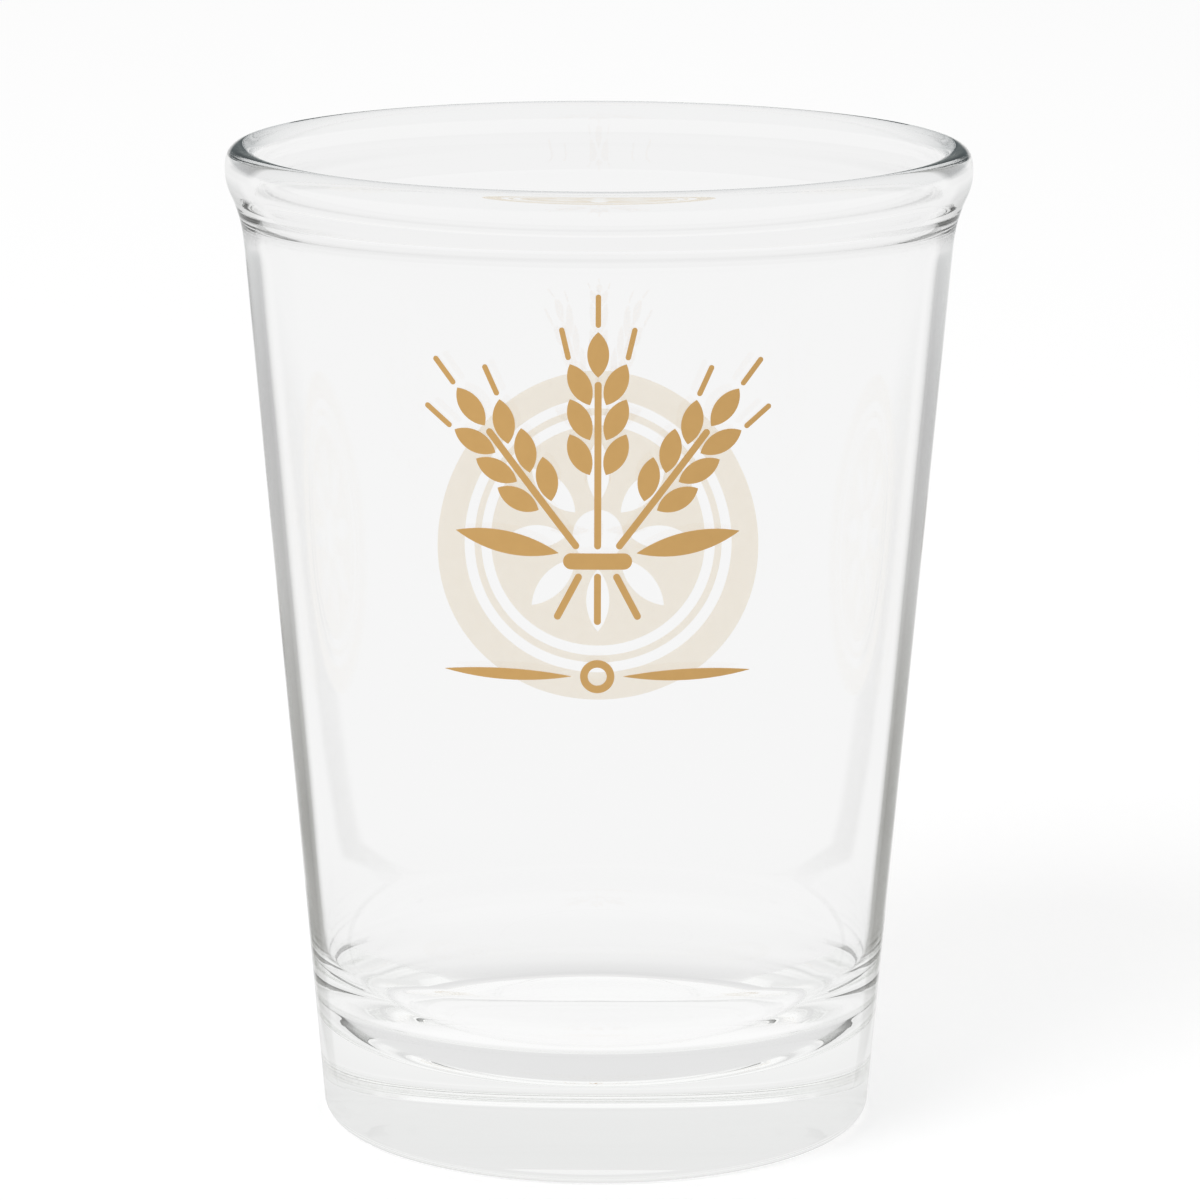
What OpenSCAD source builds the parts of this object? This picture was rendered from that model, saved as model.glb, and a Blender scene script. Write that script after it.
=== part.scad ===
// Small tapered beer glass: clear pressed glass with a rolled lip and a heavy foot,
// printed in two fired enamel inks.
// Millimetres, +Z up. The origin is on the table, under the middle of the foot.
// The gold print faces -Y and the pale print is on the far wall, at +Y.

/* [Glass] */
// Overall height, from the table to the top of the lip
height = 82; // [70:0.5:110]
// Outside diameter of the lip, the widest place
mouth_d = 61.3; // [56:0.1:72]
// Outside diameter where the tapered wall would meet the table
foot_d = 45.8; // [40:0.1:50]
// Thickness of the side wall, measured level
wall_t = 1.2; // [1:0.1:2.4]
// Height of the inside floor above the table
floor_h = 7; // [5:0.1:12]
// Radius of the inside corner, where the wall runs round into the floor
floor_corner_r = 9.6; // [3:0.1:12]

/* [Lip] */
// Thickness of the lip
lip_t = 2.7; // [2:0.1:3.6]
// How far the lip stands out from the wall's taper
lip_proud = 0.85; // [0.4:0.05:1.4]
// Height of the upright outer face of the lip
lip_face_h = 3; // [2.6:0.1:5]
// Height of the slope that runs from that face into the wall
lip_slope_h = 2.8; // [2.4:0.1:4]
// Radius of the rounded top edges of the lip
lip_round_r = 1.3; // [0.5:0.05:1.7]
// Radius where the lip's outer face turns under
lip_shoulder_r = 3.2; // [1:0.1:4]
// Radius of the hollow where the lip runs into the wall
lip_hollow_r = 9; // [3:0.1:10]
// Radius of the soft bend inside, where the lip runs into the wall
lip_inner_r = 12; // [4:0.5:20]

/* [Foot] */
// Radius of the outside bottom edge
heel_r = 1.2; // [0.6:0.1:2]
// Width of the flat ring that the glass stands on
stand_w = 3.2; // [2:0.1:6]
// Height of the shallow hollow under the foot
hollow_h = 0.4; // [0.3:0.05:1.2]

/* [Print] */
// Thickness of the fired ink, measured level
ink_t = 0.12; // [0.08:0.01:0.3]
// Hairline clearance between the wall and the ink, measured level
ink_seat = 0.06; // [0.04:0.01:0.1]
// Bare gap left between neighbouring patches of ink
ink_gap = 0.35; // [0.25:0.05:0.6]
// Distance from the lower end of the lip down to the sheaf's tie
sheaf_drop = 23.6; // [23.4:0.1:27]
// Distance from the tie down to the ornamental rule
rule_drop = 9.4; // [8.5:0.1:14]
// Distance from the lower end of the lip down to the middle of the pale roundel
roundel_drop = 32.2; // [22:0.1:40]

/* [Sheaf] */
// Length of one grain
grain_l = 3.6; // [3:0.1:4.2]
// Width of one grain
grain_w = 1.7; // [1.2:0.1:1.8]
// Distance between one pair of grains and the next
grain_pitch = 2.8; // [2.7:0.1:3.2]
// Distance from the last pair of grains to the grain at the tip
tip_step = 2.2; // [2:0.1:2.6]
// Angle between a grain and its stem
grain_lean = 26; // [22:1:32]
// Width of the stems
stem_w = 0.55; // [0.4:0.05:0.7]
// Width of the awns, the bristles above the grains
awn_w = 0.42; // [0.3:0.02:0.5]
// Length of the awns
awn_l = 2.2; // [1.5:0.1:3.5]
// Length of the stem from the tie to the middle ear
middle_stem_l = 7; // [6.5:0.1:8]
// Length of the stems from the tie to the side ears
side_stem_l = 5.6; // [5:0.1:7]
// Angle between the side ears and the middle one
ear_lean = 37; // [34:1:44]
// Distance between neighbouring stems at the tie
stem_pitch = 0.75; // [0.6:0.05:1]
// Length of the tie
tie_l = 5.4; // [4:0.1:7]
// Width of the tie
tie_w = 1.3; // [0.8:0.1:1.8]
// Length of the stalk ends below the tie
stalk_l = 3.6; // [2.5:0.1:4]
// Angle between the outer stalk ends and the middle one
stalk_lean = 27; // [15:1:35]
// Length of one leaf
leaf_l = 8.2; // [6:0.1:9]
// Width of one leaf
leaf_w = 1.8; // [1.2:0.1:2]
// Angle between a leaf and the middle stem
leaf_lean = 80; // [70:1:85]

/* [Rule] */
// Length of one tapered bar of the rule
bar_l = 10; // [6:0.5:11]
// Width of the bar at its middle
bar_w = 0.9; // [0.5:0.1:1.4]
// Outside diameter of the small ring between the bars
rule_ring_d = 2.7; // [1.8:0.1:3.4]
// Width of the small ring's line
rule_ring_w = 0.6; // [0.4:0.05:0.8]
// Bare gap between the ring and each bar
rule_gap = 0.7; // [0.4:0.05:1.2]

/* [Roundel] */
// Outside diameter of the roundel
roundel_d = 29; // [24:0.5:32]
// Width of its broad outer band
band_w = 2.4; // [1.5:0.1:3]
// Width of its thin inner line
line_w = 0.6; // [0.4:0.05:1]
// Bare space on each side of the thin line
line_space = 0.9; // [0.5:0.1:1.2]
// Length of one bare petal in the middle disc
petal_l = 5.6; // [4:0.1:6]
// Width of one bare petal
petal_w = 2.1; // [1.2:0.1:2.4]
// Ink left between the petals and the edge of the disc
petal_rim = 1.2; // [0.8:0.1:2]
// Ink left between the petals and the bare dot in the middle
petal_hub = 0.6; // [0.4:0.1:1]

/* [Hidden] */
$fn = 96;
arc_steps = 360;
lens_steps = 480;
hollow_steps = 720;
clear_glass = [0.86, 0.93, 0.91, 0.4];
gold_ink = [0.79, 0.63, 0.39];
pale_ink = [0.93, 0.89, 0.85];

lip_r = mouth_d / 2;
foot_r = foot_d / 2;
taper = (lip_r - lip_proud - foot_r) / height;
lip_bottom_z = height - lip_face_h - lip_slope_h;
stand_r = foot_r - heel_r;
hollow_r = stand_r - stand_w;
hollow_curve_r = (hollow_r * hollow_r + hollow_h * hollow_h) / (2 * hollow_h);

// Half of the upright section, anticlockwise. A corner is [distance from the axis, height, rounding radius].
outline = [
    [0, 0, 0],
    [foot_r, 0, heel_r],
    [outer_r(lip_bottom_z), lip_bottom_z, lip_hollow_r],
    [lip_r, height - lip_face_h, lip_shoulder_r],
    [lip_r, height, lip_round_r],
    [lip_r - lip_t, height, lip_round_r],
    [inner_r(lip_bottom_z), lip_bottom_z, lip_inner_r],
    [inner_r(floor_h), floor_h, floor_corner_r],
    [0, floor_h, 0],
];

// The straight part of the outside wall, which takes the print
wall_start_z = arc_end([outline[0], outline[1], outline[2]], 2)[1];
wall_stop_z = arc_end([outline[1], outline[2], outline[3]], 0)[1];
tie_z = lip_bottom_z - sheaf_drop;
rule_z = tie_z - rule_drop;
roundel_z = lip_bottom_z - roundel_drop;

grain_pairs = 3;
petals = 8;
tip_reach = 0.5;
arc_shift = 0.002;
grain_x = stem_w / 2 + ink_gap;
tip_grain_y = (grain_pairs - 1) * grain_pitch + tip_step;
stem_start = tie_w / 2 + ink_gap + stem_w / 2;
stem_stop = tip_grain_y - ink_gap - stem_w / 2;
awn_start = ink_gap + awn_w / 2;
line_r = roundel_d / 2 - band_w - line_space;
disc_r = line_r - line_w - line_space;
petal_start = disc_r - petal_rim - petal_l;

function outer_r(z) = foot_r + taper * z;
function inner_r(z) = outer_r(z) - wall_t;
function unit(v) = v / norm(v);

// A bend is one corner of an outline between its two neighbours.
function point(corner) = [corner[0], corner[1]];
function towards(from, to) = unit(point(to) - point(from));
function half_angle(bend) = acos(towards(bend[1], bend[0]) * towards(bend[1], bend[2])) / 2;
function is_outer(bend) = cross(point(bend[1]) - point(bend[0]), point(bend[2]) - point(bend[1])) > 0;
function arc_end(bend, side) =
    point(bend[1]) + towards(bend[1], bend[side]) * bend[1][2] / tan(half_angle(bend));
function arc_centre(bend) =
    point(bend[1]) + arc_side(bend) * bend[1][2] / sin(half_angle(bend));
function arc_side(bend) = unit(towards(bend[1], bend[0]) + towards(bend[1], bend[2]));

// A closed outline, anticlockwise, with each corner rounded by its own radius. Inner corners are first
// cut across, and all the arcs are cut last. An arc crosses its two lines at a hair's angle, for a clean cut.
module rounded_outline(corners) {
    count = len(corners);
    bends = [for (i = [0 : count - 1])
        [corners[(i + count - 1) % count], corners[i], corners[(i + 1) % count]]];
    difference() {
        polygon([for (bend = bends)
            each is_outer(bend) ? [point(bend[1])] : [arc_end(bend, 0), arc_end(bend, 2)]]);
        for (bend = bends)
            if (bend[1][2] > 0) {
                if (is_outer(bend))
                    outer_tip(bend);
                else
                    arc_disc(bend);
            }
    }
}

// The full circle of a bend's arc.
module arc_disc(bend) {
    translate(arc_centre(bend) - arc_side(bend) * arc_shift) circle(bend[1][2], $fn = arc_steps);
}

// What the rounding of an outer corner takes off, which reaches past the corner.
module outer_tip(bend) {
    centre = arc_centre(bend);
    past = 1 + tip_reach / bend[1][2];
    kite = [centre, arc_end(bend, 0), point(bend[1]), arc_end(bend, 2)];
    difference() {
        polygon([for (q = kite) centre + (q - centre) * past]);
        arc_disc(bend);
    }
}

// The glass: one revolved outline, with a shallow hollow under the foot.
module glass_body() {
    color(clear_glass)
    rotate_extrude()
    difference() {
        rounded_outline(outline);
        translate([0, hollow_h - hollow_curve_r]) circle(hollow_curve_r, $fn = hollow_steps);
    }
}

// A flat drawing, with its origin at height z, wrapped on the near wall as a thin layer of ink.
module ink_front(z) {
    intersection() {
        ink_layer();
        translate([0, 0, z]) rotate([90, 0, 0]) linear_extrude(mouth_d) children();
    }
}

// The same on the far wall.
module ink_back(z) {
    intersection() {
        ink_layer();
        translate([0, mouth_d, z]) rotate([90, 0, 0]) linear_extrude(mouth_d) children();
    }
}

// A thin skin all round the straight part of the wall, to cut the prints from.
module ink_layer() {
    rotate_extrude()
        polygon([
            [outer_r(wall_start_z) + ink_seat, wall_start_z],
            [outer_r(wall_start_z) + ink_seat + ink_t, wall_start_z],
            [outer_r(wall_stop_z) + ink_seat + ink_t, wall_stop_z],
            [outer_r(wall_stop_z) + ink_seat, wall_stop_z],
        ]);
}

// A patch pointed at both ends, standing on its lower point.
module lens(l, w) {
    r = (l * l + w * w) / (4 * w);
    translate([0, l / 2])
    intersection() {
        translate([r - w / 2, 0]) circle(r, $fn = lens_steps);
        translate([w / 2 - r, 0]) circle(r, $fn = lens_steps);
    }
}

// An upright stroke with round ends, from one height to another.
module stroke(from, to, w) {
    translate([0, from]) circle(d = w);
    translate([0, to]) circle(d = w);
    translate([-w / 2, from]) square([w, to - from]);
}

// One ear: pairs of grains beside the stem, one more grain at the tip, and three awns.
module ear() {
    for (side = [-1, 1]) {
        for (i = [0 : grain_pairs - 1])
            translate([side * grain_x, i * grain_pitch])
                rotate(-side * grain_lean) lens(grain_l, grain_w);
        translate([side * grain_x, (grain_pairs - 1) * grain_pitch])
            rotate(-side * grain_lean) translate([0, grain_l])
                rotate(side * grain_lean / 2) stroke(awn_start, awn_start + awn_l, awn_w);
    }
    translate([0, tip_grain_y]) {
        lens(grain_l, grain_w);
        translate([0, grain_l]) stroke(awn_start, awn_start + awn_l, awn_w);
    }
}

// The direction of one side ear: its stem starts beside the middle of the tie and leans out.
module side_lean(side) {
    translate([side * stem_pitch, 0]) rotate(-side * ear_lean) children();
}

module front_ear_middle() {
    color(gold_ink) ink_front(tie_z) translate([0, middle_stem_l]) ear();
}

module front_ear_left() {
    color(gold_ink) ink_front(tie_z) side_lean(-1) translate([0, side_stem_l]) ear();
}

module front_ear_right() {
    color(gold_ink) ink_front(tie_z) side_lean(1) translate([0, side_stem_l]) ear();
}

// Three stems above the tie, which run up between the grains, and three stalk ends below it.
module front_stems() {
    color(gold_ink) ink_front(tie_z) {
        stroke(stem_start, middle_stem_l + stem_stop, stem_w);
        stroke(-stem_start - stalk_l, -stem_start, stem_w);
        for (side = [-1, 1]) {
            side_lean(side) stroke(stem_start / cos(ear_lean), side_stem_l + stem_stop, stem_w);
            translate([side * 2 * stem_pitch, -stem_start])
                rotate(side * stalk_lean) stroke(-stalk_l, 0, stem_w);
        }
    }
}

module front_tie() {
    color(gold_ink) ink_front(tie_z)
        rotate(90) stroke(-(tie_l - tie_w) / 2, (tie_l - tie_w) / 2, tie_w);
}

// Two leaves, one on each side, that spread out just above the tie.
module front_leaves() {
    color(gold_ink) ink_front(tie_z)
        for (side = [-1, 1])
            translate([side * (tie_l / 2 + ink_gap), tie_w / 2])
                rotate(-side * leaf_lean) lens(leaf_l, leaf_w);
}

// The rule: a tapered bar on each side of a small ring.
module front_rule() {
    color(gold_ink) ink_front(rule_z) {
        difference() {
            circle(d = rule_ring_d);
            circle(d = rule_ring_d - 2 * rule_ring_w);
        }
        for (side = [-1, 1])
            translate([side * (rule_ring_d / 2 + rule_gap), 0]) rotate(-side * 90) lens(bar_l, bar_w);
    }
}

module back_band() {
    color(pale_ink) ink_back(roundel_z)
        difference() {
            circle(d = roundel_d);
            circle(r = roundel_d / 2 - band_w);
        }
}

module back_line() {
    color(pale_ink) ink_back(roundel_z)
        difference() {
            circle(r = line_r);
            circle(r = line_r - line_w);
        }
}

// The middle disc, with a ring of petals and a dot left bare.
module back_rosette() {
    color(pale_ink) ink_back(roundel_z)
        difference() {
            circle(r = disc_r);
            circle(r = petal_start - petal_hub);
            for (i = [0 : petals - 1])
                rotate(i * 360 / petals) translate([0, petal_start]) lens(petal_l, petal_w);
        }
}

glass_body();
front_ear_middle();
front_ear_left();
front_ear_right();
front_stems();
front_tie();
front_leaves();
front_rule();
back_band();
back_line();
back_rosette();
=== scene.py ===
import math

import bmesh
import bpy
from mathutils import Matrix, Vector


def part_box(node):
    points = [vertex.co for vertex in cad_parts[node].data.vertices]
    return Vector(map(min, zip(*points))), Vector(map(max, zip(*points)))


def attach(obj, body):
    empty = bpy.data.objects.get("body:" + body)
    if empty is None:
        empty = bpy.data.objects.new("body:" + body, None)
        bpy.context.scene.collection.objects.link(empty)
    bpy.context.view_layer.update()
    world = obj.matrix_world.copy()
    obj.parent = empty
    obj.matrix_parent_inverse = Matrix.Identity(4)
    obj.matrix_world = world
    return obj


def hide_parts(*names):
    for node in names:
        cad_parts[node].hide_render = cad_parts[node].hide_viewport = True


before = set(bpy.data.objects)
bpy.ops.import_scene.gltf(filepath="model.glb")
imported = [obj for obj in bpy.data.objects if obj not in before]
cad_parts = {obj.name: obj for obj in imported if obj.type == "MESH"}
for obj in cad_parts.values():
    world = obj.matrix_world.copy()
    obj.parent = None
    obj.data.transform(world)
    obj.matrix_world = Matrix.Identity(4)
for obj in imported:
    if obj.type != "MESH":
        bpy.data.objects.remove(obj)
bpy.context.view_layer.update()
scene = bpy.context.scene


# The glass: one piece of clear soda-lime glass, pressed in a mould and fire-polished, with a rolled lip,
# a thin tapered wall and a heavy foot that stands on a ring round a shallow hollow.
# It is one half section, rounded corner by corner, softened at the lip by the flame and spun round the axis.
FOOT_RADIUS = 0.0229
HEEL_ROUND = 0.0012
STAND_WIDTH = 0.0032
HOLLOW_HEIGHT = 0.0004
HOLLOW_STEPS = 12
WALL = 0.0012
WALL_CUTS = 30
FLOOR_HEIGHT = 0.007
FLOOR_ROUND = 0.0096
LIP_THICKNESS = 0.0027
LIP_PROUD = 0.00085
LIP_FACE = 0.003
LIP_SLOPE = 0.0028
LIP_TOP_ROUND = 0.0013
LIP_SHOULDER_ROUND = 0.0032
LIP_HOLLOW_ROUND = 0.009
LIP_INNER_ROUND = 0.012
LIP_CUTS = 6
LONGEST_STRAIGHT = 0.0028
LONGEST_LIP_STRAIGHT = 0.00054
FLAME_REACH = 0.01
FLAME_PASSES = 24
SPIN_STEPS = 288
SAME_POINT = 1e-7
REFRACTIVE_INDEX = 1.52
MOULD_WAVE_SCALE = 70
MOULD_WAVE_DEPTH = 0.00003
TINT = (0.89, 0.92, 0.87, 1)
TINT_DENSITY = 3

mouth_radius, _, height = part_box("glass_body")[1]
taper = (mouth_radius - LIP_PROUD - FOOT_RADIUS) / height
lip_bottom = height - LIP_FACE - LIP_SLOPE
neck_radius = FOOT_RADIUS + taper * lip_bottom
floor_radius = FOOT_RADIUS + taper * FLOOR_HEIGHT - WALL

# Each corner of the section: distance from the axis, height, radius of its rounding, steps in the rounding.
SECTION = [
    (FOOT_RADIUS, 0, HEEL_ROUND, 10),
    (neck_radius, lip_bottom, LIP_HOLLOW_ROUND, 14),
    (mouth_radius, height - LIP_FACE, LIP_SHOULDER_ROUND, 12),
    (mouth_radius, height, LIP_TOP_ROUND, 16),
    (mouth_radius - LIP_THICKNESS, height, LIP_TOP_ROUND, 16),
    (neck_radius - WALL, lip_bottom, LIP_INNER_ROUND, 12),
    (floor_radius, FLOOR_HEIGHT, FLOOR_ROUND, 28),
]

bm = bmesh.new()
hollow_radius = FOOT_RADIUS - HEEL_ROUND - STAND_WIDTH
hollow_curve = (hollow_radius ** 2 + HOLLOW_HEIGHT ** 2) / (2 * HOLLOW_HEIGHT)
crown = bm.verts.new((0, 0, HOLLOW_HEIGHT))
bmesh.ops.spin(
    bm, geom=[crown], cent=(0, 0, HOLLOW_HEIGHT - hollow_curve), axis=(0, 1, 0),
    angle=math.asin(hollow_radius / hollow_curve), steps=HOLLOW_STEPS,
)
last = max(bm.verts, key=lambda v: v.co.x)
corners = []
for x, z, radius, steps in SECTION + [(0, FLOOR_HEIGHT, 0, 0)]:
    corner = bm.verts.new((x, 0, z))
    bm.edges.new((last, corner))
    corners.append(corner)
    last = corner
for corner, (x, z, radius, steps) in zip(corners, SECTION):
    bmesh.ops.bevel(
        bm, geom=[corner], offset=radius * math.tan(corner.calc_edge_angle() / 2), offset_type="OFFSET",
        segments=steps, profile=0.5, affect="VERTICES", material=-1,
    )

# Long straights are cut, so that smooth shading stays true along them and the flame can soften the lip.
straights = [e for e in bm.edges if e.calc_length() > LONGEST_STRAIGHT]
bmesh.ops.subdivide_edges(bm, edges=straights, cuts=WALL_CUTS)
flame_bottom = height - FLAME_REACH
lip_edges = [e for e in bm.edges if max(v.co.z for v in e.verts) > flame_bottom]
lip_straights = [e for e in lip_edges if e.calc_length() > LONGEST_LIP_STRAIGHT]
bmesh.ops.subdivide_edges(bm, edges=lip_straights, cuts=LIP_CUTS)
lip = [v for v in bm.verts if v.co.z > flame_bottom]
for _ in range(FLAME_PASSES):
    bmesh.ops.smooth_vert(bm, verts=lip, factor=0.5, use_axis_x=True, use_axis_y=True, use_axis_z=True)
bmesh.ops.spin(
    bm, geom=bm.verts[:] + bm.edges[:], cent=(0, 0, 0), axis=(0, 0, 1), angle=math.tau,
    steps=SPIN_STEPS, use_merge=True,
)
bmesh.ops.remove_doubles(bm, verts=bm.verts, dist=SAME_POINT)
bmesh.ops.recalc_face_normals(bm, faces=bm.faces)
for face in bm.faces:
    face.smooth = True
glass_mesh = bpy.data.meshes.new("glass_vessel")
bm.to_mesh(glass_mesh)
bm.free()
glass = bpy.data.objects.new("glass_vessel", glass_mesh)
scene.collection.objects.link(glass)

clear_glass = bpy.data.materials.new("clear_glass")
clear_glass.use_nodes = True
nodes = clear_glass.node_tree.nodes
links = clear_glass.node_tree.links
shader = nodes["Principled BSDF"]
shader.inputs["Base Color"].default_value = (1, 1, 1, 1)
shader.inputs["Roughness"].default_value = 0
shader.inputs["IOR"].default_value = REFRACTIVE_INDEX
shader.inputs["Transmission Weight"].default_value = 1
place = nodes.new("ShaderNodeTexCoord")
ripple = nodes.new("ShaderNodeTexNoise")
ripple.inputs["Scale"].default_value = MOULD_WAVE_SCALE
ripple.inputs["Detail"].default_value = 1
links.new(place.outputs["Object"], ripple.inputs["Vector"])
mould_waves = nodes.new("ShaderNodeBump")
mould_waves.inputs["Strength"].default_value = 1
mould_waves.inputs["Distance"].default_value = MOULD_WAVE_DEPTH
links.new(ripple.outputs["Fac"], mould_waves.inputs["Height"])
links.new(mould_waves.outputs["Normal"], shader.inputs["Normal"])
tint = nodes.new("ShaderNodeVolumeAbsorption")
tint.inputs["Color"].default_value = TINT
tint.inputs["Density"].default_value = TINT_DENSITY
links.new(tint.outputs["Volume"], nodes["Material Output"].inputs["Volume"])
glass_mesh.materials.append(clear_glass)

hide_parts("glass_body")
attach(glass, "root")


# The gold print on the near wall: a sheaf of three ears with leaves, tied in the middle, over a small rule.
# It is satin enamel, screen printed and fired on, so it keeps the faint mesh of the screen.
GOLD = (0.640, 0.378, 0.122, 1)
GOLD_DEEP = (0.590, 0.340, 0.102, 1)
GOLD_ROUGHNESS = 0.42
CLOUD_SCALE = 900
CLOUD_DETAIL = 4
SATIN_SPREAD = 0.06
SCREEN_SCALE = 6000
DIMPLE_STRENGTH = 0.25
DIMPLE_DEPTH = 0.00001
GOLD_NODES = [
    "front_ear_middle", "front_ear_left", "front_ear_right", "front_stems", "front_tie", "front_leaves",
    "front_rule",
]


def fired_enamel(name, thick_colour, thin_colour, roughness):
    """Screen-printed enamel: cloudy where the layer is thin, with the fine dimples of the screen."""
    material = bpy.data.materials.new(name)
    material.use_nodes = True
    nodes = material.node_tree.nodes
    links = material.node_tree.links
    shader = nodes["Principled BSDF"]
    place = nodes.new("ShaderNodeTexCoord")
    clouds = nodes.new("ShaderNodeTexNoise")
    clouds.inputs["Scale"].default_value = CLOUD_SCALE
    clouds.inputs["Detail"].default_value = CLOUD_DETAIL
    links.new(place.outputs["Object"], clouds.inputs["Vector"])
    layer = nodes.new("ShaderNodeMix")
    layer.data_type = "RGBA"
    layer.inputs["A"].default_value = thin_colour
    layer.inputs["B"].default_value = thick_colour
    links.new(clouds.outputs["Fac"], layer.inputs["Factor"])
    links.new(layer.outputs["Result"], shader.inputs["Base Color"])
    satin = nodes.new("ShaderNodeMapRange")
    satin.inputs["To Min"].default_value = roughness - SATIN_SPREAD
    satin.inputs["To Max"].default_value = roughness + SATIN_SPREAD
    links.new(clouds.outputs["Fac"], satin.inputs["Value"])
    links.new(satin.outputs["Result"], shader.inputs["Roughness"])
    screen = nodes.new("ShaderNodeTexVoronoi")
    screen.inputs["Scale"].default_value = SCREEN_SCALE
    links.new(place.outputs["Object"], screen.inputs["Vector"])
    dimples = nodes.new("ShaderNodeBump")
    dimples.inputs["Strength"].default_value = DIMPLE_STRENGTH
    dimples.inputs["Distance"].default_value = DIMPLE_DEPTH
    links.new(screen.outputs["Distance"], dimples.inputs["Height"])
    links.new(dimples.outputs["Normal"], shader.inputs["Normal"])
    return material


gold_enamel = fired_enamel("gold_enamel", GOLD, GOLD_DEEP, GOLD_ROUGHNESS)
for name in GOLD_NODES:
    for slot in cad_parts[name].material_slots:
        slot.material = gold_enamel


# The pale print on the far wall: a roundel of a broad band, a thin line and a disc with its petals left bare.
# It is the same fired enamel in pale cream, and is seen from the front through the glass.
PALE = (0.937, 0.883, 0.785, 1)
PALE_THIN = (0.907, 0.844, 0.737, 1)
PALE_ROUGHNESS = 0.45
PALE_NODES = ["back_band", "back_line", "back_rosette"]

pale_enamel = fired_enamel("pale_enamel", PALE, PALE_THIN, PALE_ROUGHNESS)
for name in PALE_NODES:
    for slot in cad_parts[name].material_slots:
        slot.material = pale_enamel


# The floor: a plain white studio table. The camera sees it with the glass's soft shadow. What the glass shows
# of it is painted:
# white where it looks straight through, with a painted contact shadow round the foot; a little greyer by one
# reflection, with painted shade under and near the glass; and dark grey painted behind the glass on both
# sides, seen only in the glass, which paints dark reflections that draw the glass's edges.
FLOOR_RADIUS = 4
FLOOR_SIDES = 96
FLOOR_DROP = 0.00002
FLOOR_WHITE = (0.8, 0.8, 0.8, 1)
FLOOR_LIFT = (0.24, 0.24, 0.24, 1)
SHADED_SPAN = 0.6
FREE_BOUNCES = 14
KEPT_PER_BOUNCE = 0.98
# How far to each side of the axis the painted edge darks begin.
PAINTED_EDGE_OFFSET = 0.029

# Each stop: distance from the axis, then a grey or a colour.
# Seen straight through the glass: white, with a painted contact shadow in a ring just outside the foot.
SEEN_THROUGH_PAINTED_SHADOW = [
    (0, 0.98), (0.0215, 0.98), (0.0225, 0.72), (0.0238, 0.72), (0.0265, 0.89), (0.042, 0.93), (0.6, 0.92),
]
# Seen by one reflection: greyer, with painted shade under the glass and close round it.
SEEN_REFLECTED_PAINTED_SHADE = [(0, 0.78), (0.025, 0.78), (0.035, 0.80), (0.06, 0.85), (0.1, 0.90), (0.6, 0.92)]
# Dark grey painted on the floor behind the glass on both sides, seen only in the glass: painted dark
# reflections along its edges, greyer under the glass and darkest a little way behind it.
PAINTED_EDGE_DARKS = [
    (0, 0.75), (0.025, 0.75), (0.035, 0.50, 0.50, 0.49), (0.06, 0.28, 0.28, 0.26), (0.1, 0.22, 0.22, 0.20),
    (0.14, 0.28, 0.28, 0.26), (0.2, 0.40, 0.40, 0.39), (0.3, 0.42), (0.45, 0.60, 0.61, 0.61), (0.6, 0.85),
]
# Each stop: how far out to the side the painted edge darks lie for each metre behind the glass, then how much
# they cover.
PAINTED_EDGE_SLOPES = [(0.10, 0), (0.25, 1), (0.65, 1), (0.85, 0)]

bm = bmesh.new()
bmesh.ops.create_circle(
    bm, cap_ends=True, segments=FLOOR_SIDES, radius=FLOOR_RADIUS,
    matrix=Matrix.Translation((0, 0, -FLOOR_DROP)),
)
floor_mesh = bpy.data.meshes.new("studio_floor")
bm.to_mesh(floor_mesh)
bm.free()
floor = bpy.data.objects.new("studio_floor", floor_mesh)
scene.collection.objects.link(floor)


def studio_sum(tree, operation, first, second, third=0):
    """One sum in a studio material: each term is a number or another node's output."""
    node = tree.nodes.new("ShaderNodeMath")
    node.operation = operation
    for socket, term in zip(node.inputs, (first, second, third)):
        if isinstance(term, bpy.types.NodeSocket):
            tree.links.new(term, socket)
        else:
            socket.default_value = term
    return node.outputs["Value"]


def studio_mix(tree, share, first, second):
    """One colour fading into another: each is a colour or another node's output."""
    node = tree.nodes.new("ShaderNodeMix")
    node.data_type = "RGBA"
    tree.links.new(share, node.inputs["Factor"])
    for socket, colour in ((node.inputs["A"], first), (node.inputs["B"], second)):
        if isinstance(colour, bpy.types.NodeSocket):
            tree.links.new(colour, socket)
        else:
            socket.default_value = colour
    return node.outputs["Result"]


def shaded_card(tree, stops, along, reach):
    """A card shaded from stop to stop along a value that runs from nought to its reach."""
    ramp = tree.nodes.new("ShaderNodeValToRGB")
    elements = ramp.color_ramp.elements
    elements.remove(elements[1])
    for i, (stop, *shade) in enumerate(stops):
        element = elements[0] if i == 0 else elements.new(stop / reach)
        element.position = stop / reach
        element.color = (*shade, 1) if len(shade) == 3 else (*shade * 3, 1)
    tree.links.new(studio_sum(tree, "DIVIDE", along, reach), ramp.inputs["Fac"])
    return ramp.outputs["Color"]


def seen_in_glass(tree, path):
    """One for light that comes by way of the glass, and nought for the rest."""
    return studio_sum(tree, "MAXIMUM", path.outputs["Is Glossy Ray"], path.outputs["Is Transmission Ray"])


def left_after_bounces(tree, path):
    """The share of light that is left after many reflections inside the heavy foot."""
    extra = studio_sum(tree, "SUBTRACT", path.outputs["Ray Depth"], FREE_BOUNCES)
    return studio_sum(tree, "POWER", KEPT_PER_BOUNCE, studio_sum(tree, "MAXIMUM", extra, 0))


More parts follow.
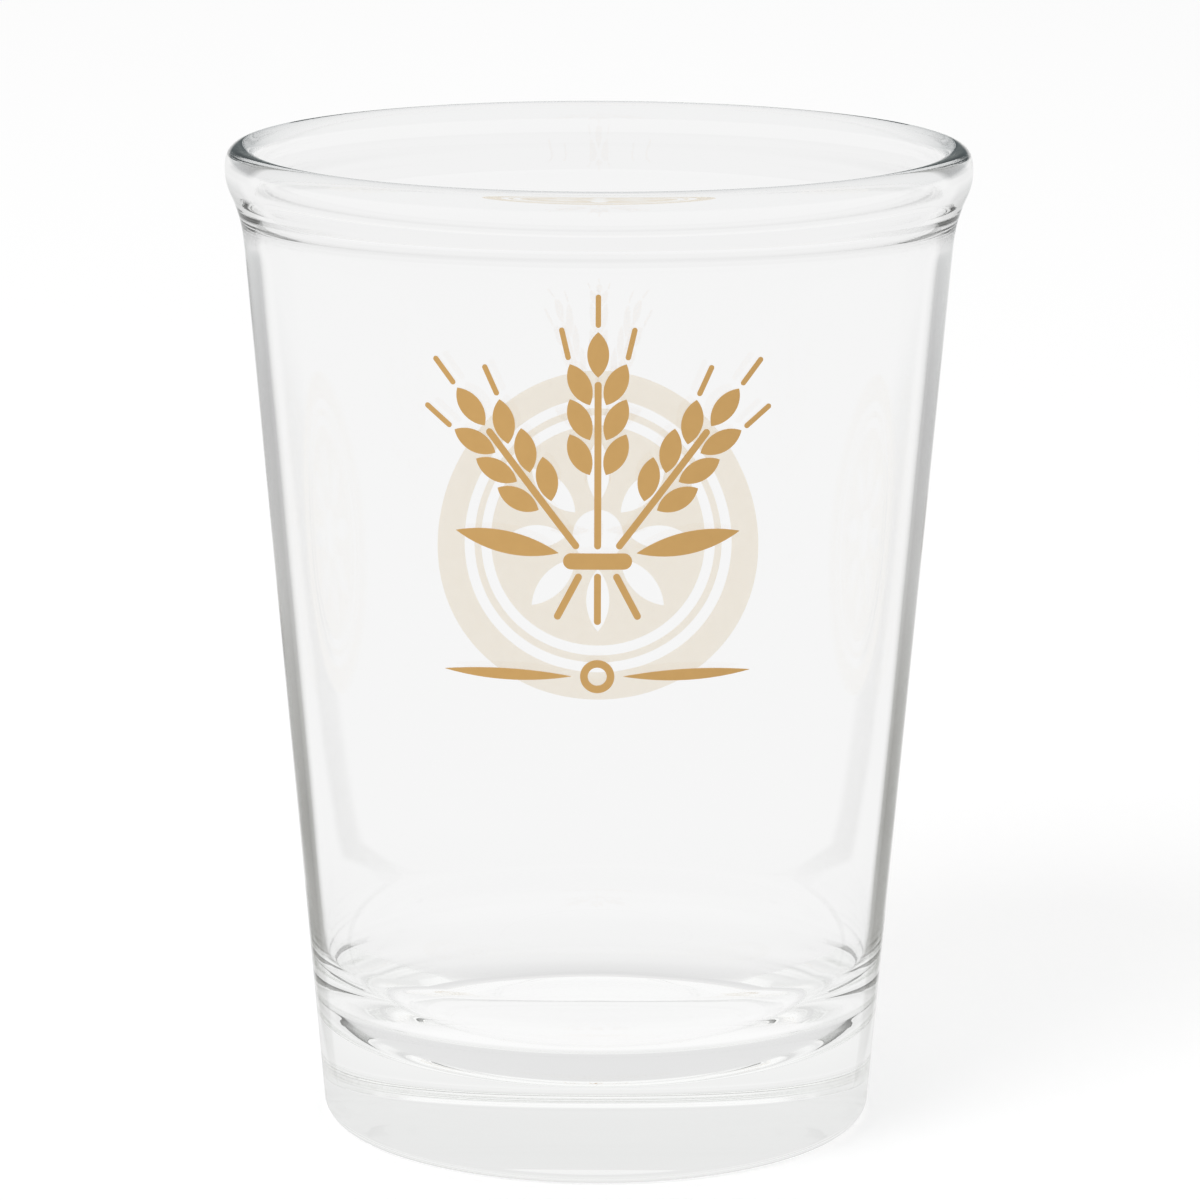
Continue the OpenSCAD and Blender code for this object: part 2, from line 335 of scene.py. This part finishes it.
studio_white_and_painted_shade = bpy.data.materials.new("studio_white_and_painted_shade")
studio_white_and_painted_shade.use_nodes = True
studio_white_and_painted_shade.cycles.emission_sampling = "NONE"
tree = studio_white_and_painted_shade.node_tree
tree.nodes.clear()
path = tree.nodes.new("ShaderNodeLightPath")
matt = tree.nodes.new("ShaderNodeBsdfDiffuse")
matt.inputs["Color"].default_value = FLOOR_WHITE
lift = tree.nodes.new("ShaderNodeEmission")
lift.inputs["Color"].default_value = FLOOR_LIFT
tree.links.new(path.outputs["Is Camera Ray"], lift.inputs["Strength"])
table = tree.nodes.new("ShaderNodeAddShader")
tree.links.new(matt.outputs["BSDF"], table.inputs[0])
tree.links.new(lift.outputs["Emission"], table.inputs[1])

place = tree.nodes.new("ShaderNodeTexCoord")
distance = tree.nodes.new("ShaderNodeVectorMath")
distance.operation = "LENGTH"
tree.links.new(place.outputs["Object"], distance.inputs[0])
away = distance.outputs["Value"]
split = tree.nodes.new("ShaderNodeSeparateXYZ")
tree.links.new(place.outputs["Object"], split.inputs["Vector"])
# A mask for the painted edge darks: behind the glass, out to both sides.
sideways = studio_sum(tree, "SUBTRACT", studio_sum(tree, "ABSOLUTE", split.outputs["X"], 0), PAINTED_EDGE_OFFSET)
painted_edge_slope = shaded_card(tree, PAINTED_EDGE_SLOPES, studio_sum(tree, "DIVIDE", sideways, split.outputs["Y"]), 1)
behind = studio_sum(tree, "GREATER_THAN", split.outputs["Y"], 0)
painted_edge_mask = studio_sum(tree, "MULTIPLY", painted_edge_slope, behind)
# Painted shade under and near the glass, in what one reflection shows.
painted_shade_floor = shaded_card(tree, SEEN_REFLECTED_PAINTED_SHADE, away, SHADED_SPAN)
# Painted dark reflections for the glass's edges, seen only by way of the glass.
painted_edge_reflections = shaded_card(tree, PAINTED_EDGE_DARKS, away, SHADED_SPAN)
reflected = studio_mix(tree, painted_edge_mask, painted_shade_floor, painted_edge_reflections)
# A painted contact shadow round the foot, in what the glass shows straight through.
through = shaded_card(tree, SEEN_THROUGH_PAINTED_SHADOW, away, SHADED_SPAN)
one_reflection = studio_sum(tree, "COMPARE", path.outputs["Glossy Depth"], 1, 0.5)
# What the glass shows of the floor is emission with painted shadow, painted shade and painted dark edge
# reflections.
painted_floor_in_glass = tree.nodes.new("ShaderNodeEmission")
tree.links.new(studio_mix(tree, one_reflection, through, reflected), painted_floor_in_glass.inputs["Color"])
tree.links.new(left_after_bounces(tree, path), painted_floor_in_glass.inputs["Strength"])
choose = tree.nodes.new("ShaderNodeMixShader")
tree.links.new(seen_in_glass(tree, path), choose.inputs["Fac"])
tree.links.new(table.outputs["Shader"], choose.inputs[1])
tree.links.new(painted_floor_in_glass.outputs["Emission"], choose.inputs[2])
surface = tree.nodes.new("ShaderNodeOutputMaterial")
tree.links.new(choose.outputs["Shader"], surface.inputs["Surface"])
floor_mesh.materials.append(studio_white_and_painted_shade)


# The studio round the glass: an even white tent with a dim room beyond it, and one broad soft lamp over the
# left shoulder. In the glass the tent is a little greyer at the sides than overhead, and the polished outside
# mirrors the room. Light crosses the foot many times before it leaves, so its paths are long.
TENT = (0.86, 0.86, 0.86, 1)
BACKDROP = (1, 1, 1, 1)
ROOM = (0.20, 0.23, 0.24, 1)
ROOM_START = 0
ROOM_FULL = 0.08
OVERHEAD = 90
LAMP_SIZE = 0.9
LAMP_POWER = 6
LAMP_PLACE = (-0.75, -0.95, 1.25)
LAMP_TURN = math.radians(-38)
LAMP_TILT = math.radians(45)
PATH_LENGTH = 128

# Each stop: degrees above level, then a grey.
TENT_HEIGHTS = [(0, 0.89), (8, 0.89), (14, 0.84), (21, 0.82), (30, 0.86), (37, 1), (90, 1)]

scene.cycles.max_bounces = PATH_LENGTH
scene.cycles.glossy_bounces = PATH_LENGTH
scene.cycles.transmission_bounces = PATH_LENGTH
scene.cycles.blur_glossy = 0

world = bpy.data.worlds.new("white_tent")
scene.world = world
world.use_nodes = True
tree = world.node_tree
tree.nodes.clear()
path = tree.nodes.new("ShaderNodeLightPath")
place = tree.nodes.new("ShaderNodeTexCoord")
split = tree.nodes.new("ShaderNodeSeparateXYZ")
tree.links.new(place.outputs["Generated"], split.inputs["Vector"])
degrees = studio_sum(tree, "DEGREES", studio_sum(tree, "ARCSINE", split.outputs["Z"], 0), 0)
bare_reflection = studio_sum(tree, "LESS_THAN", path.outputs["Transmission Depth"], 0.5)
above = tree.nodes.new("ShaderNodeMapRange")
above.inputs["From Min"].default_value = ROOM_START
above.inputs["From Max"].default_value = ROOM_FULL
tree.links.new(split.outputs["Z"], above.inputs["Value"])
in_room = studio_sum(tree, "MULTIPLY", bare_reflection, above.outputs["Result"])
surroundings = studio_mix(tree, in_room, shaded_card(tree, TENT_HEIGHTS, degrees, OVERHEAD), ROOM)
seen = studio_mix(tree, seen_in_glass(tree, path), TENT, surroundings)
background = tree.nodes.new("ShaderNodeBackground")
tree.links.new(
    studio_mix(tree, path.outputs["Is Camera Ray"], seen, BACKDROP), background.inputs["Color"],
)
tree.links.new(left_after_bounces(tree, path), background.inputs["Strength"])
sky = tree.nodes.new("ShaderNodeOutputWorld")
tree.links.new(background.outputs["Background"], sky.inputs["Surface"])

lamp_light = bpy.data.lights.new("soft_lamp", "AREA")
lamp_light.shape = "DISK"
lamp_light.size = LAMP_SIZE
lamp_light.energy = LAMP_POWER
lamp = bpy.data.objects.new("soft_lamp", lamp_light)
lamp.matrix_world = (
    Matrix.Translation(LAMP_PLACE)
    @ Matrix.Rotation(LAMP_TURN, 4, "Z")
    @ Matrix.Rotation(LAMP_TILT, 4, "X")
)
lamp.visible_glossy = False
lamp.visible_transmission = False
scene.collection.objects.link(lamp)


# The camera: a long lens a little under half a metre away, looking 12 degrees down.
# From there the rim and the foot are as open as in the photograph.
CAMERA_PLACE = (0.0002, -0.45, 0.1392)
CAMERA_PITCH = 0.2091
CAMERA_ROLL = 0.0034
LENS = 165.5
SENSOR = 36
NEAREST = 0.01

camera_data = bpy.data.cameras.new("camera")
camera_data.sensor_width = SENSOR
camera_data.lens = LENS
camera_data.clip_start = NEAREST
camera = bpy.data.objects.new("camera", camera_data)
camera.matrix_world = (
    Matrix.Translation(CAMERA_PLACE)
    @ Matrix.Rotation(math.pi / 2 - CAMERA_PITCH, 4, "X")
    @ Matrix.Rotation(CAMERA_ROLL, 4, "Z")
)
scene.collection.objects.link(camera)
scene.camera = camera
scene.view_settings.view_transform = "Standard"
